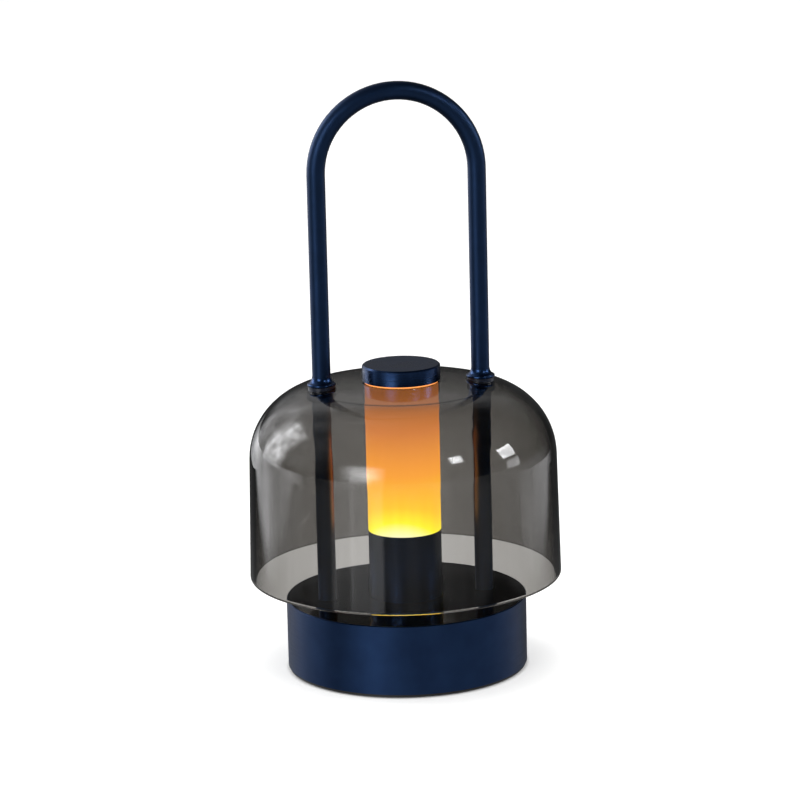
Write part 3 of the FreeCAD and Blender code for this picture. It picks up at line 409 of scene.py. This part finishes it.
def window_light(tree, ray, noise, window):
    """A window: a soft-edged rectangle that faces the lamp, and broken up if it is mottled."""
    azimuth, elevation, half_width, half_height, soft_sides, soft_ends, strength, mottle = window
    ahead = towards(azimuth, elevation)
    side = ahead.cross(Vector((0, 0, 1))).normalized()
    up = side.cross(ahead)
    facing = {"operation": "DOT_PRODUCT", 1: ahead}
    facing = add(tree, "ShaderNodeVectorMath", facing, {0: ray}).outputs["Value"]
    light = {"operation": "GREATER_THAN", 1: 0.0}
    light = add(tree, "ShaderNodeMath", light, {0: facing}).outputs[0]
    light = add(tree, "ShaderNodeMath", {"operation": "MULTIPLY", 1: strength}, {0: light}).outputs[0]
    for axis, half, soft in ((side, half_width, soft_sides), (up, half_height, soft_ends)):
        along = {"operation": "DOT_PRODUCT", 1: axis}
        along = add(tree, "ShaderNodeVectorMath", along, {0: ray}).outputs["Value"]
        along = {0: along, 1: facing}
        along = add(tree, "ShaderNodeMath", {"operation": "DIVIDE"}, along).outputs[0]
        along = add(tree, "ShaderNodeMath", {"operation": "ABSOLUTE"}, {0: along}).outputs[0]
        inside = {"From Min": half - soft, "From Max": half + soft, "To Min": 1.0, "To Max": 0.0}
        inside["interpolation_type"] = "SMOOTHSTEP"
        inside = add(tree, "ShaderNodeMapRange", inside, {"Value": along}).outputs["Result"]
        light = {0: light, 1: inside}
        light = add(tree, "ShaderNodeMath", {"operation": "MULTIPLY"}, light).outputs[0]
    if mottle:
        broken = {**MOTTLE_RANGE, "To Min": 1 - mottle, "To Max": 1 + mottle}
        broken = add(tree, "ShaderNodeMapRange", broken, {"Value": noise}).outputs["Result"]
        light = {0: light, 1: broken}
        light = add(tree, "ShaderNodeMath", {"operation": "MULTIPLY"}, light).outputs[0]
    return light


def make_room():
    """The world: a dim room with soft-edged windows. Only mirrors and light come from it."""
    world = bpy.data.worlds.new("room")
    world.use_nodes = True
    tree = world.node_tree
    ray = add(tree, "ShaderNodeTexCoord").outputs["Generated"]
    height = add(tree, "ShaderNodeSeparateXYZ", links={"Vector": ray}).outputs["Z"]
    clutter = add(tree, "ShaderNodeTexNoise", CLUTTER, {"Vector": ray}).outputs["Fac"]
    clutter = {"Value": clutter}
    clutter = add(tree, "ShaderNodeMapRange", CLUTTER_RANGE, clutter).outputs["Result"]
    noise = add(tree, "ShaderNodeTexNoise", MOTTLE, {"Vector": ray}).outputs["Fac"]
    wall = wall_light(tree, ray, height)
    total = add(tree, "ShaderNodeMath", {1: ROOM_LIGHT}, {0: wall}).outputs[0]
    lights = [table_light(tree, ray, height)]
    lights += [window_light(tree, ray, noise, window) for window in WINDOWS]
    for light in lights:
        total = add(tree, "ShaderNodeMath", links={0: total, 1: light}).outputs[0]
    total = add(tree, "ShaderNodeMath", {"operation": "MULTIPLY"}, {0: total, 1: clutter}).outputs[0]
    background = tree.nodes["Background"]
    background.inputs["Color"].default_value = linear("#FBFCFF")
    tree.links.new(total, background.inputs["Strength"])
    scene.world = world


SET_RADIUS = 6.0
# paint and glow of the floor and of the backdrop
SET_PAINTS = {"floor": ("#C8C8C6", 0.64), "backdrop": ("#000000", 1.1)}
# how near the lamp's edge the floor's glow is darkened, a painted contact shadow
EDGE_SHADOW = 2.5 * MM


def make_set():
    """The white floor and backdrop: seen directly and through the glass, and mirrored nowhere."""
    for name, (paint, glow) in SET_PAINTS.items():
        bpy.ops.object.select_all(action="DESELECT")
        if name == "floor":
            bpy.ops.mesh.primitive_circle_add(vertices=96, radius=SET_RADIUS, fill_type="NGON")
        else:
            bpy.ops.mesh.primitive_uv_sphere_add(segments=96, ring_count=48, radius=SET_RADIUS)
        thing = bpy.context.object
        thing.name = name
        material, tree, shader, _ = new_material(name + "_paint")
        shader.inputs["Base Color"].default_value = linear(paint)
        shader.inputs["Roughness"].default_value = 0.8
        shader.inputs["Emission Color"].default_value = (1, 1, 1, 1)
        # painted shadow: its glow is darkened by ambient occlusion in the narrow gap under the lamp's
        # edge
        painted_edge_shadow = add(tree, "ShaderNodeAmbientOcclusion", {"samples": 8, "Distance": EDGE_SHADOW})
        painted_edge_shadow = {0: painted_edge_shadow.outputs["AO"]}
        painted_edge_shadow = add(tree, "ShaderNodeMath", {"operation": "MULTIPLY", 1: glow}, painted_edge_shadow).outputs[0]
        tree.links.new(painted_edge_shadow, shader.inputs["Emission Strength"])
        # a ray that anything has mirrored passes the set by, and meets the room instead
        mirrored = add(tree, "ShaderNodeLightPath").outputs["Glossy Depth"]
        clear = add(tree, "ShaderNodeBsdfTransparent").outputs[0]
        seen = {0: mirrored, 1: shader.outputs[0], 2: clear}
        seen = add(tree, "ShaderNodeMixShader", links=seen).outputs[0]
        tree.links.new(seen, tree.nodes["Material Output"].inputs["Surface"])
        thing.data.materials.append(material)
        thing.visible_glossy = False
        thing.visible_diffuse = name == "floor"
        thing.visible_shadow = name == "floor"


# a softbox of 60 W, 2.4 m across, a little in front of the lamp
SOFTBOX_POWER = 60.0
SOFTBOX_WIDTH = 2.4
SOFTBOX_PLACE = (0.0, -0.3, 2.6)


def make_softbox():
    """A large soft light overhead, which lights the floor and isn't mirrored."""
    light = bpy.data.lights.new("overhead_softbox", "AREA")
    light.shape = "DISK"
    light.size = SOFTBOX_WIDTH
    light.energy = SOFTBOX_POWER
    thing = bpy.data.objects.new("overhead_softbox", light)
    thing.location = SOFTBOX_PLACE
    thing.visible_camera = False
    thing.visible_glossy = False
    thing.visible_transmission = False
    scene.collection.objects.link(thing)


# The tube's glow on the legs: watts a side, colour, height and width, and how far it stands off.
LEG_GLOW = 0.05
LEG_GLOW_COLOUR = (1.0, 0.14, 0.02)
LEG_GLOW_SIZE = (50 * MM, 20 * MM)
LEG_GLOW_GAP = 1.5 * MM


def make_leg_glow():
    """The tube's warm light on the inner side of the two legs, from a panel beside the tube."""
    legs = bpy.data.collections.new("legs_by_the_tube")
    legs.objects.link(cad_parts["handle"])
    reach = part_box("diffuser_tube")[1][0] + LEG_GLOW_GAP
    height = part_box("column_sleeve")[1][2] + LEG_GLOW_SIZE[0] / 2
    for side in (1, -1):
        light = bpy.data.lights.new("leg_glow", "AREA")
        light.shape = "RECTANGLE"
        light.size, light.size_y = LEG_GLOW_SIZE
        light.color = LEG_GLOW_COLOUR
        light.energy = LEG_GLOW
        thing = bpy.data.objects.new("leg_glow", light)
        thing.location = (side * reach, 0, height)
        thing.rotation_euler = (0, -side * math.pi / 2, 0)
        thing.visible_camera = False
        thing.visible_transmission = False
        thing.light_linking.receiver_collection = legs
        scene.collection.objects.link(thing)


make_room()
make_set()
make_softbox()
make_leg_glow()
